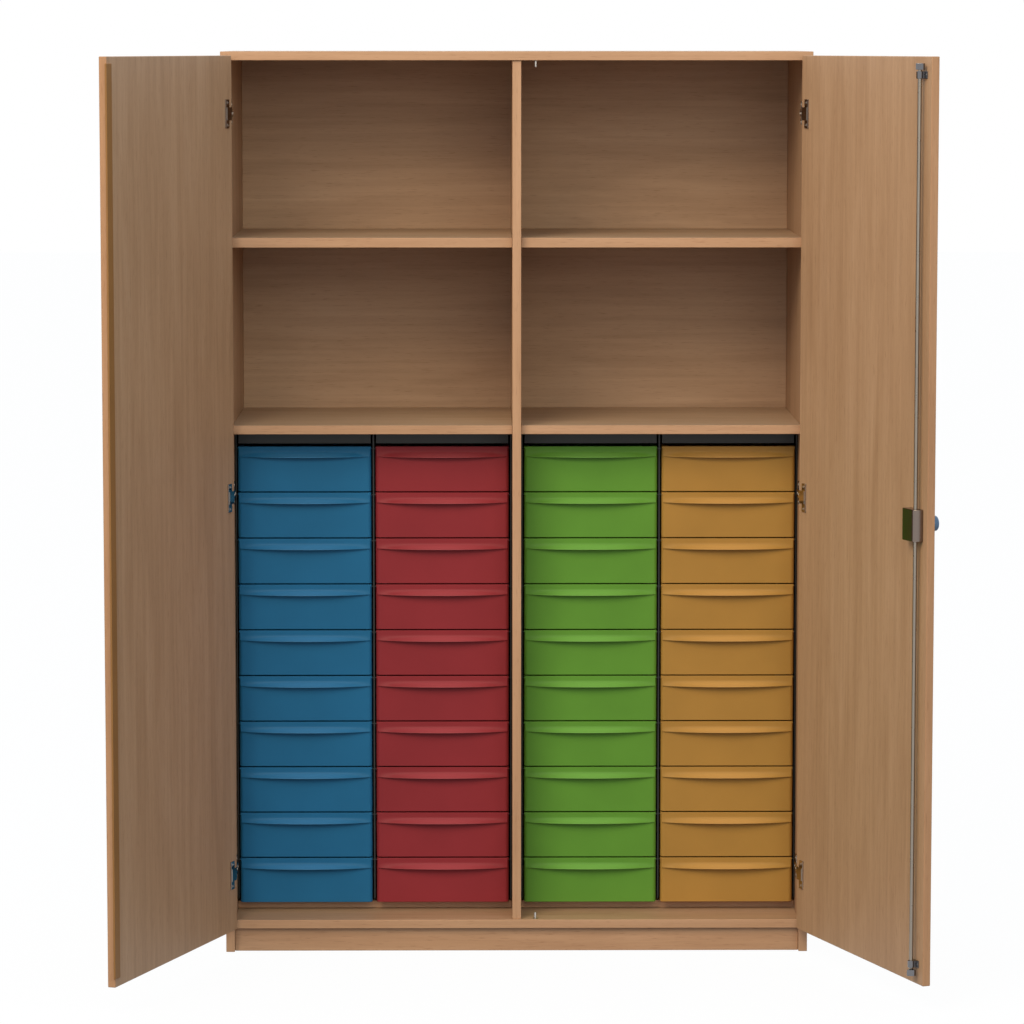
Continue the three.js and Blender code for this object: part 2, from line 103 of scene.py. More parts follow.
def soft_light(name, place, aim, power, colour):
    """A square panel of light at a place, turned so that its face looks at the aim."""
    panel = bpy.data.lights.new(name, "AREA")
    panel.size = 3.6
    panel.energy = power
    panel.color = colour
    lamp = bpy.data.objects.new(name, panel)
    reach = [a - p for a, p in zip(aim, place)]
    flat = math.hypot(reach[0], reach[1])
    lamp.location = place
    lamp.rotation_euler = (math.atan2(flat, -reach[2]), 0.0, math.atan2(-reach[0], reach[1]))
    bpy.context.scene.collection.objects.link(lamp)
    return lamp


soft_light("main_light", (-2.68, -4.94, 5.45), (0.0, -0.3, 0.95), 300.0, (1.0, 0.87, 0.66))
soft_light("near_light", (1.10, -6.55, 3.91), (0.0, -0.3, 0.95), 99.0, (1.0, 0.99, 0.75))


# The floor is a pale painted slab. To the eye it is lifted most of the way to white, and the cupboard's
# soft shadow stays on it.
def new_piece(name, points, faces, crease=None):
    """An object at the origin from points and faces: doubles merged, normals outwards, and edges sharper
    than the crease angle left hard."""
    mesh = bpy.data.meshes.new(name)
    mesh.from_pydata(np.asarray(points, float).reshape(-1, 3).tolist(), [], faces)
    shape = bmesh.new()
    shape.from_mesh(mesh)
    bmesh.ops.remove_doubles(shape, verts=shape.verts, dist=2e-6)
    bmesh.ops.recalc_face_normals(shape, faces=shape.faces)
    shape.to_mesh(mesh)
    shape.free()
    piece = bpy.data.objects.new(name, mesh)
    bpy.context.scene.collection.objects.link(piece)
    if crease is not None:
        mesh.shade_smooth()
        mesh.set_sharp_from_angle(angle=math.radians(crease))
        even = piece.modifiers.new("even_normals", "WEIGHTED_NORMAL")
        even.keep_sharp = True
    return piece


floor_reach = 30.0
floor = new_piece(
    "floor",
    [(-floor_reach, -floor_reach, -0.0005), (floor_reach, -floor_reach, -0.0005),
     (floor_reach, floor_reach, -0.0005), (-floor_reach, floor_reach, -0.0005)],
    [(0, 1, 2, 3)],
)
floor_paint = bpy.data.materials.new("pale_floor")
floor_paint.use_nodes = True
slab = floor_paint.node_tree
slab.nodes.clear()
slab_matt = shader_node(slab, "ShaderNodeBsdfDiffuse", {"Color": (0.14, 0.14, 0.14, 1.0)})
slab_white = shader_node(slab, "ShaderNodeEmission", {"Color": (1.0, 1.0, 1.0, 1.0), "Strength": 1.21})
slab_share = shader_node(slab, "ShaderNodeMath", {1: 0.80}, operation="MULTIPLY")
slab.links.new(seen_directly(slab), slab_share.inputs[0])
slab_mix = shader_node(slab, "ShaderNodeMixShader")
slab.links.new(slab_share.outputs[0], slab_mix.inputs[0])
slab.links.new(slab_matt.outputs[0], slab_mix.inputs[1])
slab.links.new(slab_white.outputs[0], slab_mix.inputs[2])
slab.links.new(slab_mix.outputs[0], shader_node(slab, "ShaderNodeOutputMaterial").inputs[0])
floor.data.materials.append(floor_paint)


# Carcass: sides, top, bottom and centre divider of 18 mm particle board faced with beech decor, edged all
# round with a matching band whose arrises are slightly rounded. The boards are dowelled and glued.
def plan_loop(x0, x1, y0, y1, radii, steps=3):
    """Rectangle in plan, anticlockwise from its front left corner, each corner an arc of its own radius:
    the arc of corner k is centre + radius * (cos a, sin a), with a running over that quarter turn."""
    turn = np.linspace(0.0, np.pi / 2, steps + 1)
    corners = ((x0, y0, 1, 1, np.pi), (x1, y0, -1, 1, 1.5 * np.pi), (x1, y1, -1, -1, 0.0), (x0, y1, 1, -1, np.pi / 2))
    arcs = [
        np.stack([x + sx * r + r * np.cos(start + turn), y + sy * r + r * np.sin(start + turn)], axis=1)
        for (x, y, sx, sy, start), r in zip(corners, radii)
    ]
    return np.concatenate(arcs)


def at_level(loop, level):
    """The points of a plan loop at one height."""
    return np.column_stack([loop, np.full(len(loop), level)])


def loft(loops):
    """Points and faces of a skin over closed loops with equal counts: quads from each loop to the next, and
    one flat face on the first loop and one on the last."""
    rings, count = len(loops), len(loops[0])
    index = np.arange(rings * count).reshape(rings, count)
    ahead = np.roll(index, -1, axis=1)
    quads = np.stack([index[:-1], ahead[:-1], ahead[1:], index[1:]], axis=2).reshape(-1, 4)
    faces = [*quads.tolist(), index[0][::-1].tolist(), index[-1].tolist()]
    return np.concatenate([np.asarray(loop, float) for loop in loops]), faces


def rounded_block(low, high, edge, radii=None, steps=3):
    """Upright block with rounded edges. At angle a on the edge's quarter circle the loop is set in by
    edge * (1 - sin a) all round and stands edge * (1 - cos a) in from the end of the block."""
    radii = radii or (edge,) * 4
    turn = np.linspace(0.0, np.pi / 2, steps + 1)
    inset, rise = edge * (1 - np.sin(turn)), edge * (1 - np.cos(turn))
    levels = [*(low[2] + rise), *(high[2] - rise[::-1])]
    loops = [
        at_level(plan_loop(low[0] + d, high[0] - d, low[1] + d, high[1] - d, [max(r - d, 0.0) for r in radii], steps), z)
        for d, z in zip([*inset, *inset[::-1]], levels)
    ]
    return loft(loops)


def beech_finish(name, along, start, forward_tone=(1.15, 1.05, 1.0), painted_light_tint=(1.0, 1.0, 1.0)):
    """Beech decor. Object coordinates are turned so that x runs with the grain, and drawn out along it: broad bands,
    narrow streaks and short dark pores are three noises on that space, laid over one base tone. Surfaces that face
    forward are multiplied by a tone of their own beside the other faces. The tint multiplies the whole decor. Where
    it is not white it is painted light: a board made lighter or cooler for the light that falls on it."""
    finish = bpy.data.materials.new(name)
    finish.use_nodes = True
    tree = finish.node_tree
    coat = tree.nodes["Principled BSDF"]
    coat.inputs["Specular IOR Level"].default_value = 0.4
    turned = {"X": (0.0, 0.0, 0.0), "Z": (0.0, math.pi / 2, 0.0)}[along]
    where = shader_node(tree, "ShaderNodeTexCoord")
    laid = shader_node(tree, "ShaderNodeMapping", {"Location": start, "Rotation": turned})
    tree.links.new(where.outputs["Object"], laid.inputs["Vector"])

    def grain(drawn, scale, detail, wander):
        """A noise whose features are drawn out along the grain."""
        space = shader_node(tree, "ShaderNodeMapping", {"Scale": (drawn, 1.0, 1.0)})
        tree.links.new(laid.outputs[0], space.inputs["Vector"])
        noise = shader_node(
            tree, "ShaderNodeTexNoise", {"Scale": scale, "Detail": detail, "Roughness": 0.6, "Distortion": wander}
        )
        tree.links.new(space.outputs[0], noise.inputs["Vector"])
        return noise.outputs["Fac"]

    def toned(source, stops):
        """Colours over the range of a noise."""
        ramp = shader_node(tree, "ShaderNodeValToRGB")
        ramp.color_ramp.elements[0].position, ramp.color_ramp.elements[0].color = stops[0]
        ramp.color_ramp.elements[1].position, ramp.color_ramp.elements[1].color = stops[-1]
        for position, colour in stops[1:-1]:
            ramp.color_ramp.elements.new(position).color = colour
        tree.links.new(source, ramp.inputs["Fac"])
        return ramp.outputs["Color"]

    def over(base, layer, share):
        """One tone multiplied over another."""
        mix = shader_node(tree, "ShaderNodeMix", {0: share}, data_type="RGBA", blend_type="MULTIPLY")
        tree.links.new(base, mix.inputs[6])
        tree.links.new(layer, mix.inputs[7])
        return mix.outputs[2]

    # Painted light: the tint is multiplied into every tone of the decor.
    pale = (0.500 * painted_light_tint[0], 0.303 * painted_light_tint[1], 0.175 * painted_light_tint[2], 1.0)
    warm = (0.460 * painted_light_tint[0], 0.272 * painted_light_tint[1], 0.151 * painted_light_tint[2], 1.0)
    deep = (0.415 * painted_light_tint[0], 0.240 * painted_light_tint[1], 0.130 * painted_light_tint[2], 1.0)
    bands = toned(grain(0.11, 17.0, 3.0, 0.9), [(0.30, deep), (0.50, warm), (0.72, pale)])
    streaks = toned(grain(0.025, 95.0, 5.0, 0.3), [(0.32, (0.85, 0.82, 0.79, 1.0)), (0.62, (1.0, 1.0, 1.0, 1.0))])
    pore_noise = grain(0.055, 620.0, 1.0, 0.0)
    pores = toned(pore_noise, [(0.62, (1.0, 1.0, 1.0, 1.0)), (0.74, (0.66, 0.58, 0.50, 1.0))])
    decor = over(over(bands, streaks, 0.75), pores, 0.6)
    if forward_tone:
        faced = shader_node(tree, "ShaderNodeSeparateXYZ")
        tree.links.new(where.outputs["Normal"], faced.inputs[0])
        forward = shader_node(tree, "ShaderNodeMath", {1: -0.5}, operation="LESS_THAN")
        tree.links.new(faced.outputs["Y"], forward.inputs[0])
        edged = shader_node(tree, "ShaderNodeMix", {7: (*forward_tone, 1.0)}, data_type="RGBA", blend_type="MULTIPLY")
        tree.links.new(forward.outputs[0], edged.inputs[0])
        tree.links.new(decor, edged.inputs[6])
        decor = edged.outputs[2]
    tree.links.new(decor, coat.inputs["Base Color"])
    sheen = shader_node(tree, "ShaderNodeMapRange", {"To Min": 0.46, "To Max": 0.58})
    tree.links.new(pore_noise, sheen.inputs["Value"])
    tree.links.new(sheen.outputs["Result"], coat.inputs["Roughness"])
    relief = shader_node(tree, "ShaderNodeBump", {"Strength": 0.06, "Distance": 0.0002})
    tree.links.new(pore_noise, relief.inputs["Height"])
    tree.links.new(relief.outputs["Normal"], coat.inputs["Normal"])
    return finish


def board(name, low, high, finish, node=None, edge=0.0012):
    """One edged board of the carcass between two corners, in the place of its CAD node."""
    piece = new_piece(name, *rounded_block(low, high, edge), crease=40)
    piece.data.materials.append(finish)
    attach(piece, "carcass")
    if node:
        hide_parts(node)
    return piece


thick, seat = 0.018, 0.0001
top_low, top_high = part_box("top_panel")
half, front, rear = top_high.x, top_low.y, top_high.y
under_top = top_high.z - thick
base_low, base_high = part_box("bottom_panel")
floor_top = base_low.z + thick
upright_beech = beech_finish("beech_upright", "Z", (0.0, 0.0, 0.0))
level_beech = beech_finish("beech_level", "X", (1.7, 0.4, 0.9))
board("left_side", (-half, front, 0.0), (thick - half, rear, under_top - seat), upright_beech, "side_left")
board("right_side", (half - thick, front, 0.0), (half, rear, under_top - seat), upright_beech, "side_right")
board("top_board", (-half, front, under_top), top_high, level_beech, "top_panel")
board("bottom_board", base_low, (base_high.x, base_high.y, floor_top), level_beech, "bottom_panel")
board("divider_board", *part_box("centre_divider"), upright_beech, "centre_divider")


# Plinth, back and base rails: the plinth is a strip of the same board, set back under the bottom. The back
# is a thin panel let in between the sides. A low rail is glued across each bay under the lowest trays.
plinth_beech = beech_finish("beech_plinth", "X", (5.1, 2.2, 0.3))
back_beech = beech_finish("beech_back", "X", (9.3, 1.1, 4.2), None)
board("plinth_board", *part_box("plinth"), plinth_beech, "plinth")
board("back_board", *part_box("back_panel"), back_beech, "back_panel", 0.0006)
rail_front, rail_height = 0.109, 0.015
for hand, side in (("left", -1.0), ("right", 1.0)):
    rail_ends = sorted((side * (thick / 2 + seat), side * base_high.x))
    board(f"base_rail_{hand}", (rail_ends[0], rail_front, floor_top - seat),
          (rail_ends[1], rail_front + thick, floor_top + rail_height), plinth_beech)


# Shelves: a fixed one over the trays in each bay, and a thicker loose one above it.
# The loose ones lie on four nickel pins pushed into holes in the side and the divider.
def lathe(profile, sides=28):
    """Points and faces of a turned piece: each (radius, height) of the profile gives the loop
    (radius cos a, radius sin a, height)."""
    turn = np.linspace(0.0, 2 * np.pi, sides, endpoint=False)
    ring = np.column_stack([np.cos(turn), np.sin(turn)])
    return loft([at_level(ring * max(radius, 1e-7), level) for radius, level in profile])


def nickel_finish(name, colour, rough):
    """Nickel plate of a given colour, whose gloss drifts a little and which has a very faint pitting."""
    finish = bpy.data.materials.new(name)
    finish.use_nodes = True
    tree = finish.node_tree
    plate = tree.nodes["Principled BSDF"]
    plate.inputs["Metallic"].default_value = 1.0
    where = shader_node(tree, "ShaderNodeTexCoord")
    cloud = shader_node(tree, "ShaderNodeTexNoise", {"Scale": 70.0, "Detail": 4.0, "Roughness": 0.55})
    tree.links.new(where.outputs["Object"], cloud.inputs["Vector"])
    gloss = shader_node(tree, "ShaderNodeMapRange", {"To Min": rough * 0.7, "To Max": rough * 1.3})
    tree.links.new(cloud.outputs["Fac"], gloss.inputs["Value"])
    tree.links.new(gloss.outputs["Result"], plate.inputs["Roughness"])
    tint = shader_node(tree, "ShaderNodeValToRGB")
    tint.color_ramp.elements[0].color = (colour[0] * 0.9, colour[1] * 0.9, colour[2] * 0.9, 1.0)
    tint.color_ramp.elements[1].color = (*colour, 1.0)
    tree.links.new(cloud.outputs["Fac"], tint.inputs["Fac"])
    tree.links.new(tint.outputs["Color"], plate.inputs["Base Color"])
    pits = shader_node(tree, "ShaderNodeTexNoise", {"Scale": 900.0, "Detail": 2.0})
    tree.links.new(where.outputs["Object"], pits.inputs["Vector"])
    relief = shader_node(tree, "ShaderNodeBump", {"Strength": 0.04, "Distance": 0.0002})
    tree.links.new(pits.outputs["Fac"], relief.inputs["Height"])
    tree.links.new(relief.outputs["Normal"], plate.inputs["Normal"])
    return finish


def fitting(name, shapes, finish, body, node=None, crease=35):
    """A metal fitting of one or more closed shapes that moves with a body."""
    points, faces, start = [], [], 0
    for shape_points, shape_faces in shapes:
        points.append(np.asarray(shape_points, float))
        faces += [[start + k for k in face] for face in shape_faces]
        start += len(shape_points)
    piece = new_piece(name, np.concatenate(points), faces, crease)
    piece.data.materials.append(finish)
    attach(piece, body)
    if node:
        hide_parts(node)
    return piece


def placed(shape, place=(0.0, 0.0, 0.0), axis="Z", sign=1.0):
    """A shape made along +Z, laid along an axis and moved to a place."""
    points, faces = shape
    x, y, z = np.asarray(points).T
    lay = {"X": (z * sign, y, x), "Y": (x, z * sign, y), "Z": (x, y, z * sign)}[axis]
    return np.column_stack(lay) + np.array(place), faces


nickel = nickel_finish("nickel_plate", (0.80, 0.78, 0.75), 0.14)
# Painted light: the shelf decor is tinted lighter and cooler, standing in for the cool light on the shelf tops. Its
# forward tone takes the tint back off the front edges.
shelf_beech = beech_finish("beech_shelf", "X", (3.3, 7.7, 2.6), (1.09, 0.91, 0.80), (1.04, 1.14, 1.24))
pin_profile = [(0.0, -0.0001), (0.0035, -0.0001), (0.0035, 0.0062), (0.0030, 0.0075), (0.0, 0.0078)]
for hand in ("left", "right"):
    fixed_low, fixed_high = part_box(f"tray_bay_shelf_{hand}")
    fixed_low.z = fixed_high.z - thick
    board(f"fixed_shelf_{hand}", fixed_low, fixed_high, shelf_beech, f"tray_bay_shelf_{hand}")
    shelf_low, shelf_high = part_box(f"upper_shelf_{hand}")
    board(f"loose_shelf_{hand}", shelf_low, shelf_high, shelf_beech, f"upper_shelf_{hand}")
    pins = [
        placed(lathe(pin_profile, 16), (wall, depth, shelf_low.z - 0.0036), "X", reach)
        for wall, reach in ((shelf_low.x, 1.0), (shelf_high.x, -1.0)) for depth in (0.155, 0.405)
    ]
    fitting(f"shelf_pins_{hand}", pins, nickel, "carcass")


# Strikes: a turned nickel pin on a round base, screwed under the top and on the bottom behind the right
# door's free edge. The claws of the lock hook round them.
strike_profile = [(0.0, -0.0001), (0.0050, -0.0001), (0.0052, 0.0003), (0.0052, 0.0009), (0.0046, 0.0013), (0.0029, 0.0015),
                  (0.0025, 0.0020), (0.0025, 0.0120), (0.0021, 0.0133), (0.0013, 0.0139), (0.0, 0.0140)]
strike_place = (0.0382505, -0.0086191)
zinc = nickel_finish("zinc_plate", (0.52, 0.50, 0.47), 0.32)
fitting("strike_top", [placed(lathe(strike_profile), (*strike_place, under_top), "Z", -1.0)], zinc, "carcass")
fitting("strike_bottom", [placed(lathe(strike_profile), (*strike_place, floor_top))], zinc, "carcass")


# Hinge arms: on each side panel a pressed plate with two screws, and over it the steel arm that reaches
# forward to the door and is clamped to the plate by two more screws.
def screw_head(radius):
    """Profile of a flat screw head with a flat-bottomed drive recess."""
    return [(0.0, 0.0), (radius, 0.0), (radius, 0.0004), (radius * 0.94, 0.0006), (radius * 0.46, 0.0006),
            (radius * 0.42, 0.0002), (0.0, 0.0002)]


hinge_levels = (0.169, 0.947, 1.725)
# Painted reflection: the hinge nickel is given a dark warm colour, standing in for the dark interior and coloured
# trays that the polished plate mirrors.
nickel_painted_reflection = nickel_finish("polished_nickel_painted_reflection", (0.38, 0.33, 0.29), 0.07)
for hand, side in (("left", -1.0), ("right", 1.0)):
    for place, level in zip(("low", "middle", "top"), hinge_levels):
        wall = side * 0.582
        inner = -side
        plate_x = sorted((wall, wall + inner * 0.0025))
        arm_x = sorted((wall, wall + inner * 0.0045))
        arm_shapes = [
            rounded_block((plate_x[0], 0.019, level - 0.024), (plate_x[1], 0.045, level + 0.024), 0.0007),
            rounded_block((arm_x[0], -0.019, level - 0.008), (arm_x[1], 0.045, level + 0.008), 0.0013),
        ]
        arm_shapes += [
            placed(lathe(screw_head(0.0042), 20), (wall + inner * 0.0024, 0.032, level + lift), "X", inner)
            for lift in (-0.0175, 0.0175)
        ]
        arm_shapes += [
            placed(lathe(screw_head(0.0038), 20), (wall + inner * 0.0044, depth, level), "X", inner)
            for depth in (0.0065, 0.0345)
        ]
        fitting(f"hinge_arm_{hand}_{place}", arm_shapes, nickel_painted_reflection, "carcass")


# Tray racks: sheet steel folded into uprights with ledges and tied by bars at the rear, powder coated matt
# black. Their folded section is the CAD's own. A valance of the same sheet hangs in front over each column.
rack_coat = bpy.data.materials.new("black_powder_coat")
rack_coat.use_nodes = True
powder = rack_coat.node_tree
powder_coat = powder.nodes["Principled BSDF"]
powder_where = shader_node(powder, "ShaderNodeTexCoord")
powder_grain = shader_node(powder, "ShaderNodeTexNoise", {"Scale": 1400.0, "Detail": 2.0})
powder.links.new(powder_where.outputs["Object"], powder_grain.inputs["Vector"])
powder_tone = shader_node(powder, "ShaderNodeValToRGB")
powder_tone.color_ramp.elements[0].color = (0.0085, 0.0085, 0.0080, 1.0)
powder_tone.color_ramp.elements[1].color = (0.0160, 0.0160, 0.0150, 1.0)
powder.links.new(powder_grain.outputs["Fac"], powder_tone.inputs["Fac"])
powder.links.new(powder_tone.outputs["Color"], powder_coat.inputs["Base Color"])
powder_coat.inputs["Roughness"].default_value = 0.55
powder_relief = shader_node(powder, "ShaderNodeBump", {"Strength": 0.15, "Distance": 0.0003})
powder.links.new(powder_grain.outputs["Fac"], powder_relief.inputs["Height"])
powder.links.new(powder_relief.outputs["Normal"], powder_coat.inputs["Normal"])
for rack in ("tray_rack_left", "tray_rack_right"):
    frame["nodes"][rack].data.materials.clear()
    frame["nodes"][rack].data.materials.append(rack_coat)
valance_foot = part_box("tray_bay_shelf_left")[0].z
for colour in ("blue", "red", "green", "orange"):
    column_low, column_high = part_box(f"tray_{colour}_01")
    valance = rounded_block((column_low.x + 0.001, 0.091, valance_foot), (column_high.x - 0.001, 0.093, fixed_low.z + seat), 0.0004)
    fitting(f"valance_{colour}", [valance], rack_coat, "carcass")


# Trays: each is one moulding in tough satin plastic. An open drafted tub hangs by its flange on the rack's
# ledges. A face closes the front, and along its top a hollow lip swells forward for the fingers.
tray_low, tray_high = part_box("tray_blue_01")
tray_half, tray_top, tray_long = (tray_high.x - tray_low.x) / 2, tray_high.z - tray_low.z, 0.365
tub_half, flange_half, flange_top = tray_half - 0.010, tray_half - 0.0005, tray_top - 0.0015
lip_drop = 0.0204


def tray_face():
    """The face: a ribbon 3 mm thick that stands on a line in plan, straight across the front and turned
    back in a quarter circle at both ends. Its two long sides are line + normal * t and line - normal * t,
    and t shrinks round the upper and lower edges."""
    turn = np.linspace(0.0, np.pi / 2, 8)
    bend, mid = 0.0065, 0.0015
    arc_x, arc_y = tray_half - 0.008, 0.008
    across = np.linspace(-arc_x, arc_x, 13)[1:-1]
    line_x = np.concatenate([[-arc_x - bend], -arc_x - bend * np.cos(turn), across, arc_x + bend * np.sin(turn), [arc_x + bend]])
    line_y = np.concatenate([[0.012], arc_y - bend * np.sin(turn), 0 * across + mid, arc_y - bend * np.cos(turn), [0.012]])
    out_x = np.concatenate([[-1.0], -np.cos(turn), 0 * across, np.sin(turn), [1.0]])
    out_y = np.concatenate([[0.0], -np.sin(turn), 0 * across - 1.0, -np.cos(turn), [0.0]])
    edge = np.linspace(0.0, np.pi / 2, 4)
    inset, rise = 0.0011 * (1 - np.sin(edge)), 0.0011 * (1 - np.cos(edge))
    loops = []
    for d, z in zip([*inset, *inset[::-1]], [*rise, *(tray_top - rise[::-1])]):
        t = mid - d
        outer = np.column_stack([line_x + out_x * t, line_y + out_y * t])
        back = np.column_stack([line_x - out_x * t, line_y - out_y * t])[::-1]
        loops.append(at_level(np.concatenate([outer, back]), z))
    return loft(loops)


def tray_lip():
    """The lip: at each x a bent sheet that leaves the face at its top edge and flares forward on its way down,
    r(u) = 1.6 + 12.4 (1 - u^2) mm at the foot, with u = x / h and h the lip's half length. It is 0.6 u^2 mm
    less deep towards the ends. Over the share s of its depth it runs out by r f(s), with f zero up to s = 0.44, bent
    to s = 0.89 and straight below. The inside lies one wall behind along the normal, and a half circle joins
    the two at the foot."""
    half_long = tray_half - 0.003
    x = half_long * np.sin(np.linspace(-np.pi / 2, np.pi / 2, 45))[:, None]
    reach = 0.0016 + 0.0124 * (1 - (x / half_long) ** 2)
    root = 0.008 - np.sqrt(0.0065 ** 2 - np.clip(np.abs(x) - tray_half + 0.008, 0.0, None) ** 2)
    drop = lip_drop - 0.0006 * (x / half_long) ** 2
    top, wall, lead, edge = tray_top - 0.0004, 0.0022, 0.0008, 0.0006
    start, bend = 0.44, 0.45
    s = np.linspace(0.04, 1.0, 15)
    run = np.clip(s - start, 0.0, None)
    share = np.where(run < bend, run ** 2 / (2 * bend), run - bend / 2) / (1 - start - bend / 2)
    slope = np.clip(run / bend, 0.0, 1.0) / (1 - start - bend / 2)
    y, z = -lead - (reach - lead) * share, top - drop * s + 0 * x
    along_y, along_z = -(reach - lead) * slope, -drop + 0 * x * s
    length = np.hypot(along_y, along_z)
    out_y, out_z = along_z / length, -along_y / length
    y_in, z_in = y - wall * out_y, z - wall * out_z
    turn = np.linspace(0.0, np.pi, 7)[1:-1]
    foot_y = (y + y_in)[:, -1:] / 2 + wall / 2 * (out_y[:, -1:] * np.cos(turn) + (along_y / length)[:, -1:] * np.sin(turn))
    foot_z = (z + z_in)[:, -1:] / 2 + wall / 2 * (out_z[:, -1:] * np.cos(turn) + (along_z / length)[:, -1:] * np.sin(turn))
    arris = np.linspace(0.0, np.pi / 2, 4)
    arris_y = edge - lead - edge * np.sin(arris) + 0 * x
    arris_z = top - edge + edge * np.cos(arris) + 0 * x
    loop_y = np.concatenate([root, arris_y, y, foot_y, y_in[:, :2:-1], root], axis=1)
    loop_z = np.concatenate([0 * x + top, arris_z, z, foot_z, z_in[:, :2:-1], z_in[:, 3:4]], axis=1)
    return loft(list(np.stack([x + 0 * loop_y, loop_y, loop_z], axis=2)))


def tray_tub():
    """The tub: loops in plan from the floor's outside up the wall, out over the flange, and down the inside
    to the floor. A wall's half width falls by 5 mm from the flange to the floor."""
    draft = 0.005 / (flange_top - 0.0015)
    outside = lambda z: tub_half - draft * (flange_top - z)
    stations = []
    for a in np.linspace(0.0, np.pi / 2, 4):
        z = 0.0015 + 0.004 * (1 - np.cos(a))
        stations.append((outside(z) - 0.004 * (1 - np.sin(a)), z, 0.0, 0.0015))
    under = flange_top - 0.003
    stations += [(outside(under - 0.002), under - 0.002, 0.0, 0.0015), (outside(under) + 0.0002, under - 0.0006, 0.0, 0.0015),
                 (tub_half + 0.001, under, 0.0, 0.0015), (flange_half - 0.0007, under, 1.0, 0.0015),
                 (flange_half, under + 0.0007, 1.0, 0.0015), (flange_half, flange_top - 0.0007, 1.0, 0.0015),
                 (flange_half - 0.0007, flange_top, 1.0, 0.0015), (tub_half - 0.0010, flange_top, 0.0, 0.0034),
                 (tub_half - 0.0020, flange_top - 0.0005, 0.0, 0.0034), (tub_half - 0.0024, flange_top - 0.0015, 0.0, 0.0034)]
    for a in np.linspace(np.pi / 2, 0.0, 5):
        z = 0.0039 + 0.007 * (1 - np.cos(a))
        stations.append((outside(z) - 0.0024 - 0.007 * (1 - np.sin(a)), z, 0.0, 0.0034 + 0.007 * (1 - np.sin(a))))
    loops = []
    for w, z, flange, y0 in stations:
        back = tray_long - (flange_half - w) if flange else tray_long - 0.008 - (tub_half - w)
        r = 0.018 - 0.5 * max(tub_half - w, 0.0)
        loops.append(at_level(plan_loop(-w, w, y0, back, (0.0, 0.0, r, r), 6), z))
    return loft(loops)


def plastic_finish(name, colour, rough, shine=0.12):
    """Satin moulded plastic: a nearly even colour with slow clouds in it, and a fine spark-eroded grain. Where the
    mesh's painted highlight share is above zero, the colour is lifted towards a lighter tone: a painted highlight
    standing in for the gloss on the tray lips."""
    finish = bpy.data.materials.new(name)
    finish.use_nodes = True
    tree = finish.node_tree
    skin = tree.nodes["Principled BSDF"]
    skin.inputs["Specular IOR Level"].default_value = shine
    where = shader_node(tree, "ShaderNodeTexCoord")
    cloud = shader_node(tree, "ShaderNodeTexNoise", {"Scale": 9.0, "Detail": 3.0, "Roughness": 0.5})
    tree.links.new(where.outputs["Object"], cloud.inputs["Vector"])
    tint = shader_node(tree, "ShaderNodeValToRGB")
    tint.color_ramp.elements[0].position, tint.color_ramp.elements[1].position = 0.3, 0.7
    tint.color_ramp.elements[0].color = (colour[0] * 0.94, colour[1] * 0.94, colour[2] * 0.94, 1.0)
    tint.color_ramp.elements[1].color = (colour[0] * 1.04, colour[1] * 1.04, colour[2] * 1.04, 1.0)
    tree.links.new(cloud.outputs["Fac"], tint.inputs["Fac"])
    # Painted highlight: the mesh's share mixes the colour towards a lighter tone on the lips.
    painted_lip_highlight = shader_node(tree, "ShaderNodeAttribute", attribute_name="painted_lip_highlight")
    highlight_colour = (colour[0] * 1.25 + 0.025, colour[1] * 1.25 + 0.025, colour[2] * 1.25 + 0.025, 1.0)
    painted_highlight = shader_node(tree, "ShaderNodeMix", {7: highlight_colour}, data_type="RGBA")
    tree.links.new(painted_lip_highlight.outputs["Fac"], painted_highlight.inputs[0])
    tree.links.new(tint.outputs["Color"], painted_highlight.inputs[6])
    tree.links.new(painted_highlight.outputs[2], skin.inputs["Base Color"])
    grain = shader_node(tree, "ShaderNodeTexNoise", {"Scale": 1500.0, "Detail": 2.0, "Roughness": 0.6})
    tree.links.new(where.outputs["Object"], grain.inputs["Vector"])
    gloss = shader_node(tree, "ShaderNodeMapRange", {"To Min": rough - 0.04, "To Max": rough + 0.06})
    tree.links.new(grain.outputs["Fac"], gloss.inputs["Value"])
    tree.links.new(gloss.outputs["Result"], skin.inputs["Roughness"])
    relief = shader_node(tree, "ShaderNodeBump", {"Strength": 0.10, "Distance": 0.0002})
    tree.links.new(grain.outputs["Fac"], relief.inputs["Height"])
    tree.links.new(relief.outputs["Normal"], skin.inputs["Normal"])
    return finish


moulds = [new_piece(f"mould_{part}", *shape) for part, shape in
          (("tub", tray_tub()), ("face", tray_face()), ("lip", tray_lip()))]
for extra in moulds[1:]:
    weld = moulds[0].modifiers.new(extra.name, "BOOLEAN")
    weld.operation, weld.solver, weld.object = "UNION", "EXACT", extra
bpy.context.view_layer.update()
tray_mesh = bpy.data.meshes.new_from_object(moulds[0].evaluated_get(bpy.context.evaluated_depsgraph_get()))
for used in moulds:
    bpy.data.objects.remove(used)
tray_mesh.shade_smooth()
tray_mesh.set_sharp_from_angle(angle=math.radians(35))
# Painted highlight: a share that is highest in the lower middle of each lip and nil elsewhere. The plastic shows it
# as a lighter colour in place of the gloss the lip would catch.
spots = np.empty(len(tray_mesh.vertices) * 3)
tray_mesh.vertices.foreach_get("co", spots)
spot_x, spot_y, spot_z = spots.reshape(-1, 3).T
lip_depth = (tray_top - spot_z) / lip_drop
painted_highlight_share = np.clip(1 - (spot_x / 0.105) ** 2, 0.0, 1.0) * np.clip((lip_depth - 0.50) / 0.30, 0.0, 1.0) * (spot_y < -0.0009)
tray_mesh.attributes.new("painted_lip_highlight", "FLOAT", "POINT").data.foreach_set("value", painted_highlight_share)

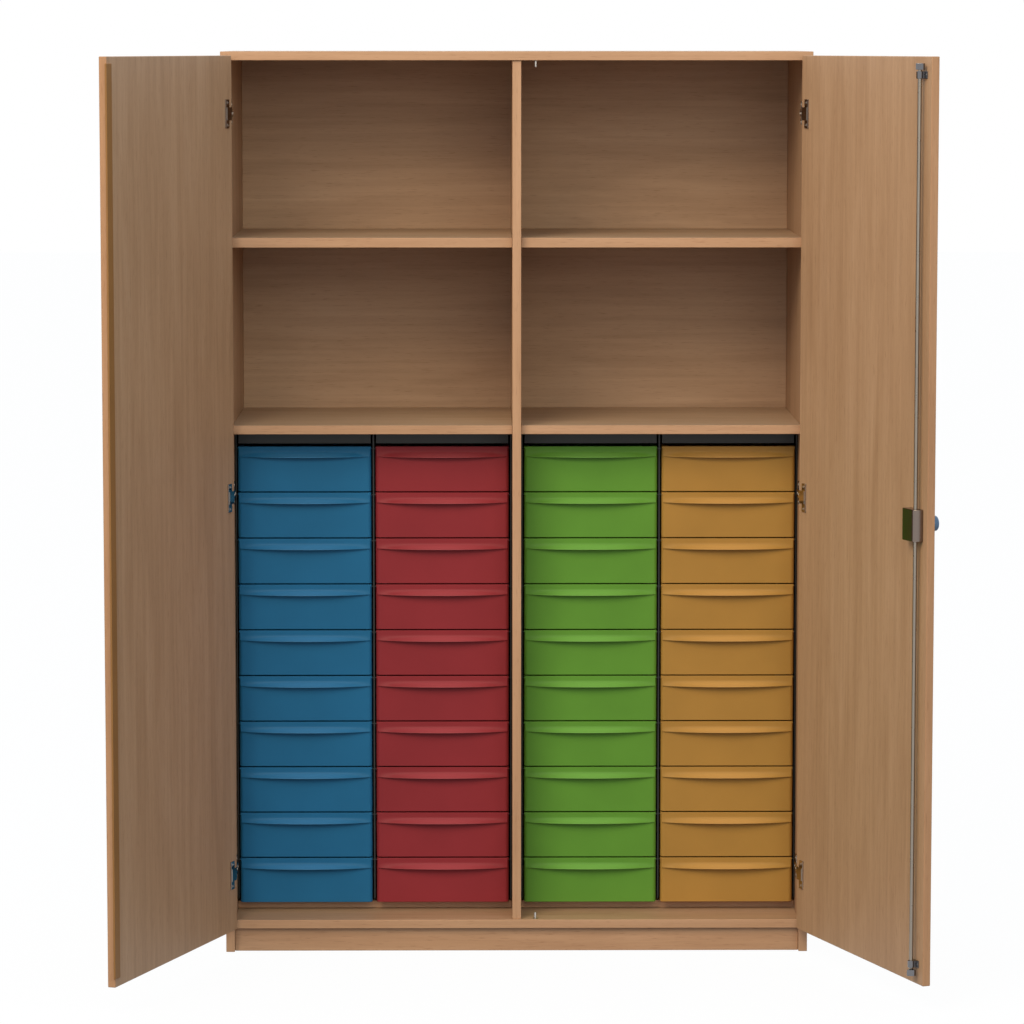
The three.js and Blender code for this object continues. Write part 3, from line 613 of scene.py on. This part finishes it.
tray_tones = {"blue": (0.0180, 0.1320, 0.2650), "red": (0.2740, 0.0284, 0.0330),
              "green": (0.1150, 0.2740, 0.0325), "orange": (0.4150, 0.2100, 0.0450)}
for colour, tone in tray_tones.items():
    tray_plastic = plastic_finish(f"plastic_{colour}", tone, 0.40)
    for number in range(1, 11):
        low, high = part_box(f"tray_{colour}_{number:02d}")
        mesh = tray_mesh.copy()
        mesh.transform(Matrix.Translation(((low.x + high.x) / 2, high.y - tray_long, low.z)))
        mesh.materials.clear()
        mesh.materials.append(tray_plastic)
        tray = bpy.data.objects.new(f"moulded_tray_{colour}_{number:02d}", mesh)
        bpy.context.scene.collection.objects.link(tray)
        tray.modifiers.new("even_normals", "WEIGHTED_NORMAL").keep_sharp = True
        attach(tray, f"tray_{colour}_{number:02d}")
        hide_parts(f"tray_{colour}_{number:02d}")


# Doors: 16 mm beech-faced leaves, edged all round, that stand open on three cup hinges each. The cups are
# sunk in the leaf, each under a tall polished plate with two screws, from which the link runs to the edge.
right_hinge = next(joint for joint in frame["joints"] if joint["name"] == "right_door_hinge")
open_turn = -math.radians(right_hinge["range_deg"][0])
axis_x, axis_y, lock_level = right_hinge["pos_m"]
leaf_low, leaf_high = 0.052, 1.842
inner_face, outer_face = -0.023, -0.039


def hung(shape, side):
    """A shape made as on the closed door, swung open: its plan is turned about the hinge axis by the
    opening angle, clockwise on the left and anticlockwise on the right."""
    points, faces = shape
    x, y, z = np.asarray(points, float).T
    dx, dy = x - side * axis_x, y - axis_y
    c, s = math.cos(side * open_turn), math.sin(side * open_turn)
    return np.column_stack([side * axis_x + c * dx - s * dy, axis_y + s * dx + c * dy, z]), faces


# Painted light: the right leaf's decor is tinted lighter, standing in for the stronger light on its inner face.
door_beech = {-1.0: beech_finish("beech_left_door", "Z", (2.9, 6.1, 1.3), (1.02, 0.88, 0.77)),
              1.0: beech_finish("beech_right_door", "Z", (8.2, 3.4, 5.5), (0.94, 0.83, 0.75), (1.09, 1.06, 1.02))}
for hand, side in (("left", -1.0), ("right", 1.0)):
    span = sorted((side * 0.001, side * 0.599))
    leaf = new_piece(f"{hand}_door_leaf", *hung(rounded_block((span[0], outer_face, leaf_low), (span[1], inner_face, leaf_high), 0.0014), side))
    if side > 0:
        spindle_way = [(0.0, -0.030), (0.0043, -0.030), (0.0043, 0.010), (0.0, 0.010)]
        drill = new_piece("drill", *hung(placed(lathe(spindle_way, 24), (0.053, inner_face, lock_level), "Y"), side))
        bored_leaf = leaf.modifiers.new("spindle_way", "BOOLEAN")
        bored_leaf.operation, bored_leaf.solver, bored_leaf.object = "DIFFERENCE", "EXACT", drill
        bpy.context.view_layer.update()
        leaf_mesh = bpy.data.meshes.new_from_object(leaf.evaluated_get(bpy.context.evaluated_depsgraph_get()))
        leaf.modifiers.clear()
        leaf.data = leaf_mesh
        bpy.data.objects.remove(drill)
    leaf.data.shade_smooth()
    leaf.data.set_sharp_from_angle(angle=math.radians(40))
    leaf.modifiers.new("even_normals", "WEIGHTED_NORMAL").keep_sharp = True
    leaf.data.materials.clear()
    leaf.data.materials.append(door_beech[side])
    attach(leaf, f"{hand}_door")
    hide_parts(f"door_{hand}")
    for place, level in zip(("low", "middle", "top"), hinge_levels):
        plate_x = sorted((side * 0.5640, side * 0.5815))
        link_x = sorted((side * 0.5680, side * 0.5765))
        tongue_x = sorted((side * 0.5810, side * 0.5965))
        cup_shapes = [
            rounded_block((plate_x[0], inner_face - seat, level - 0.029), (plate_x[1], inner_face + 0.0026, level + 0.029), 0.0005),
            rounded_block((link_x[0], inner_face, level - 0.013), (link_x[1], inner_face + 0.0034, level + 0.013), 0.0006),
            rounded_block((tongue_x[0], inner_face - seat, level - 0.013), (tongue_x[1], inner_face + 0.0015, level + 0.013), 0.0004),
        ]
        cup_shapes += [
            placed(lathe(screw_head(0.0036), 20), (side * 0.5727, inner_face + 0.0025, level + lift), "Y")
            for lift in (-0.0225, 0.0225)
        ]
        cup_shapes = [hung(shape, side) for shape in cup_shapes]
        fitting(f"hinge_cup_{hand}_{place}", cup_shapes, nickel_painted_reflection, f"{hand}_door")


# Closing strip: a brown profile glued and pinned behind the free edge of the left door. It stands out past
# the edge, and the right door shuts against it.
strip_brown = plastic_finish("strip_brown", (0.300, 0.142, 0.047), 0.45)
strip_shape = rounded_block((-0.016, -0.0225, 0.070), (0.008, -0.0187, 1.829), 0.0009)
fitting("door_strip", [hung(strip_shape, -1.0)], strip_brown, "left_door", "closing_strip")


# Rod lock on the right door: a plated case with one rounded end, through which the upright rod runs.
# Near each end of the rod a screwed guide holds it to the door, and a claw hooks round its strike.
rod_x, rod_y = 0.031, -0.012
# Painted reflection: the rod, the case, and the guides and claws are given dark colours in place of the dark
# surroundings that the plating mirrors. Those of the rod and the case are warm like the wood around them.
rod_plate_painted_reflection = nickel_finish("plated_rod", (0.30, 0.265, 0.225), 0.30)
case_nickel_painted_reflection = nickel_finish("case_nickel_painted_reflection", (0.22, 0.175, 0.150), 0.24)
claw_steel_painted_reflection = nickel_finish("claw_steel_painted_reflection", (0.185, 0.185, 0.195), 0.08)
case_shape = rounded_block((0.019, inner_face + 0.0003, lock_level - 0.031), (0.071, inner_face + 0.0203, lock_level + 0.031), 0.0012,
                           (0.0014, 0.0014, 0.0022, 0.0095), 6)
fitting("lock_housing", [hung(case_shape, 1.0)], case_nickel_painted_reflection, "right_door", "lock_case")


def bored(outer, inner, z0, z1, edge):
    """Profile of a turned sleeve: out along the bottom, up the outside and back down the bore."""
    return [(inner, z0), (outer - edge, z0), (outer, z0 + edge), (outer, z1 - edge), (outer - edge, z1), (inner, z1)]


def sleeve(profile, sides=28):
    """A turned ring: the profile's loops joined round, the last one to the first, with no flat ends."""
    points, faces = lathe(profile, sides)
    ring = np.arange(len(points)).reshape(len(profile), sides)
    closing = np.stack([ring[-1], np.roll(ring[-1], -1), np.roll(ring[0], -1), ring[0]], axis=1).tolist()
    return points, [*faces[:-2], *closing]


for place, z0, z1 in (("top", 1.800, 1.814), ("bottom", 0.085, 0.099)):
    middle = (z0 + z1) / 2
    guide_shapes = [
        rounded_block((rod_x - 0.013, inner_face - 0.0001, z0), (rod_x + 0.013, inner_face + 0.0025, z1), 0.0007),
        rounded_block((rod_x - 0.0062, inner_face - 0.0001, z0 + 0.0002), (rod_x + 0.0062, rod_y - 0.0045, z1 - 0.0002), 0.0007),
        placed(sleeve(bored(0.0068, 0.0043, z0, z1, 0.0006)), (rod_x, rod_y, 0.0)),
    ]
    guide_shapes += [placed(lathe(screw_head(0.0028), 20), (rod_x + shift, inner_face + 0.0024, middle), "Y") for shift in (-0.0098, 0.0098)]
    fitting(f"rod_guide_{place}", [hung(shape, 1.0) for shape in guide_shapes], claw_steel_painted_reflection, "right_door")


def claw_shape(z0, z1):
    """The claw: a band in polar form about the rod. Its outer side is at 12.8 mm over the whole sweep, and its
    inner side at 10.8 mm under the finger and at the rod under the arm."""
    sweep = np.radians(np.linspace(115.0, 203.0, 23))
    inner = np.where(sweep < np.radians(184.5), 0.0108, 0.0032)
    edge = np.linspace(0.0, np.pi / 2, 3)
    inset, rise = 0.0005 * (1 - np.sin(edge)), 0.0005 * (1 - np.cos(edge))
    loops = []
    for d, z in zip([*inset, *inset[::-1]], [*(z0 + rise), *(z1 - rise[::-1])]):
        angle = np.clip(sweep, sweep[0] + d / 0.0118, sweep[-1] - d / 0.0118)
        radius = np.concatenate([np.full(len(sweep), 0.0128 - d), (inner + d)[::-1]])
        around = np.concatenate([angle, angle[::-1]])
        loops.append(at_level(np.column_stack([rod_x + radius * np.cos(around), rod_y + radius * np.sin(around)]), z))
    return loft(loops)


rod_profile = [(0.0, 0.070), (0.0033, 0.070), (0.0040, 0.0707), (0.0040, 1.8283), (0.0033, 1.829), (0.0, 1.829)]
rod_shape = placed(lathe(rod_profile), (rod_x, rod_y, 0.0))
fitting("claw_rod", [hung(rod_shape, 1.0)], rod_plate_painted_reflection, "rod", "lock_rod")
for place, z0, z1 in (("top", 1.817, 1.829), ("bottom", 0.070, 0.082)):
    collar = placed(sleeve(bored(0.0052, 0.0039, z0, z1, 0.0005)), (rod_x, rod_y, 0.0))
    fitting(f"rod_claw_{place}", [hung(collar, 1.0), hung(claw_shape(z0, z1), 1.0)], claw_steel_painted_reflection, "rod")


# Knob: a turned grip in glossy slate blue on the outside of the right door, with its spindle through the
# door into the lock, and a nickel rosette screwed behind it.
knob_place = (0.053, outer_face, lock_level)
knob_blue = plastic_finish("slate_blue_knob", (0.140, 0.215, 0.320), 0.22)
grip = np.linspace(0.0, np.pi / 2, 6)
knob_profile = [(0.0, -0.0303), (0.0040, -0.0303), (0.0040, 0.0033), (0.0080, 0.0033), (0.0078, 0.0100), (0.0086, 0.0128),
                *zip(0.0120 + 0.0030 * np.sin(grip), 0.0163 - 0.0030 * np.cos(grip)),
                *zip(0.0115 + 0.0035 * np.cos(grip), 0.0248 + 0.0035 * np.sin(grip)),
                (0.0080, 0.0281), (0.0, 0.0278)]
knob = fitting("lock_grip", [hung(placed(lathe(knob_profile, 40), knob_place, "Y", -1.0), 1.0)], knob_blue, "knob", "lock_knob")
rosette_profile = bored(0.0200, 0.0043, 0.00015, 0.00315, 0.0012)
fitting("rosette", [hung(placed(sleeve(rosette_profile, 40), knob_place, "Y", -1.0), 1.0)], nickel, "right_door", "knob_rosette")
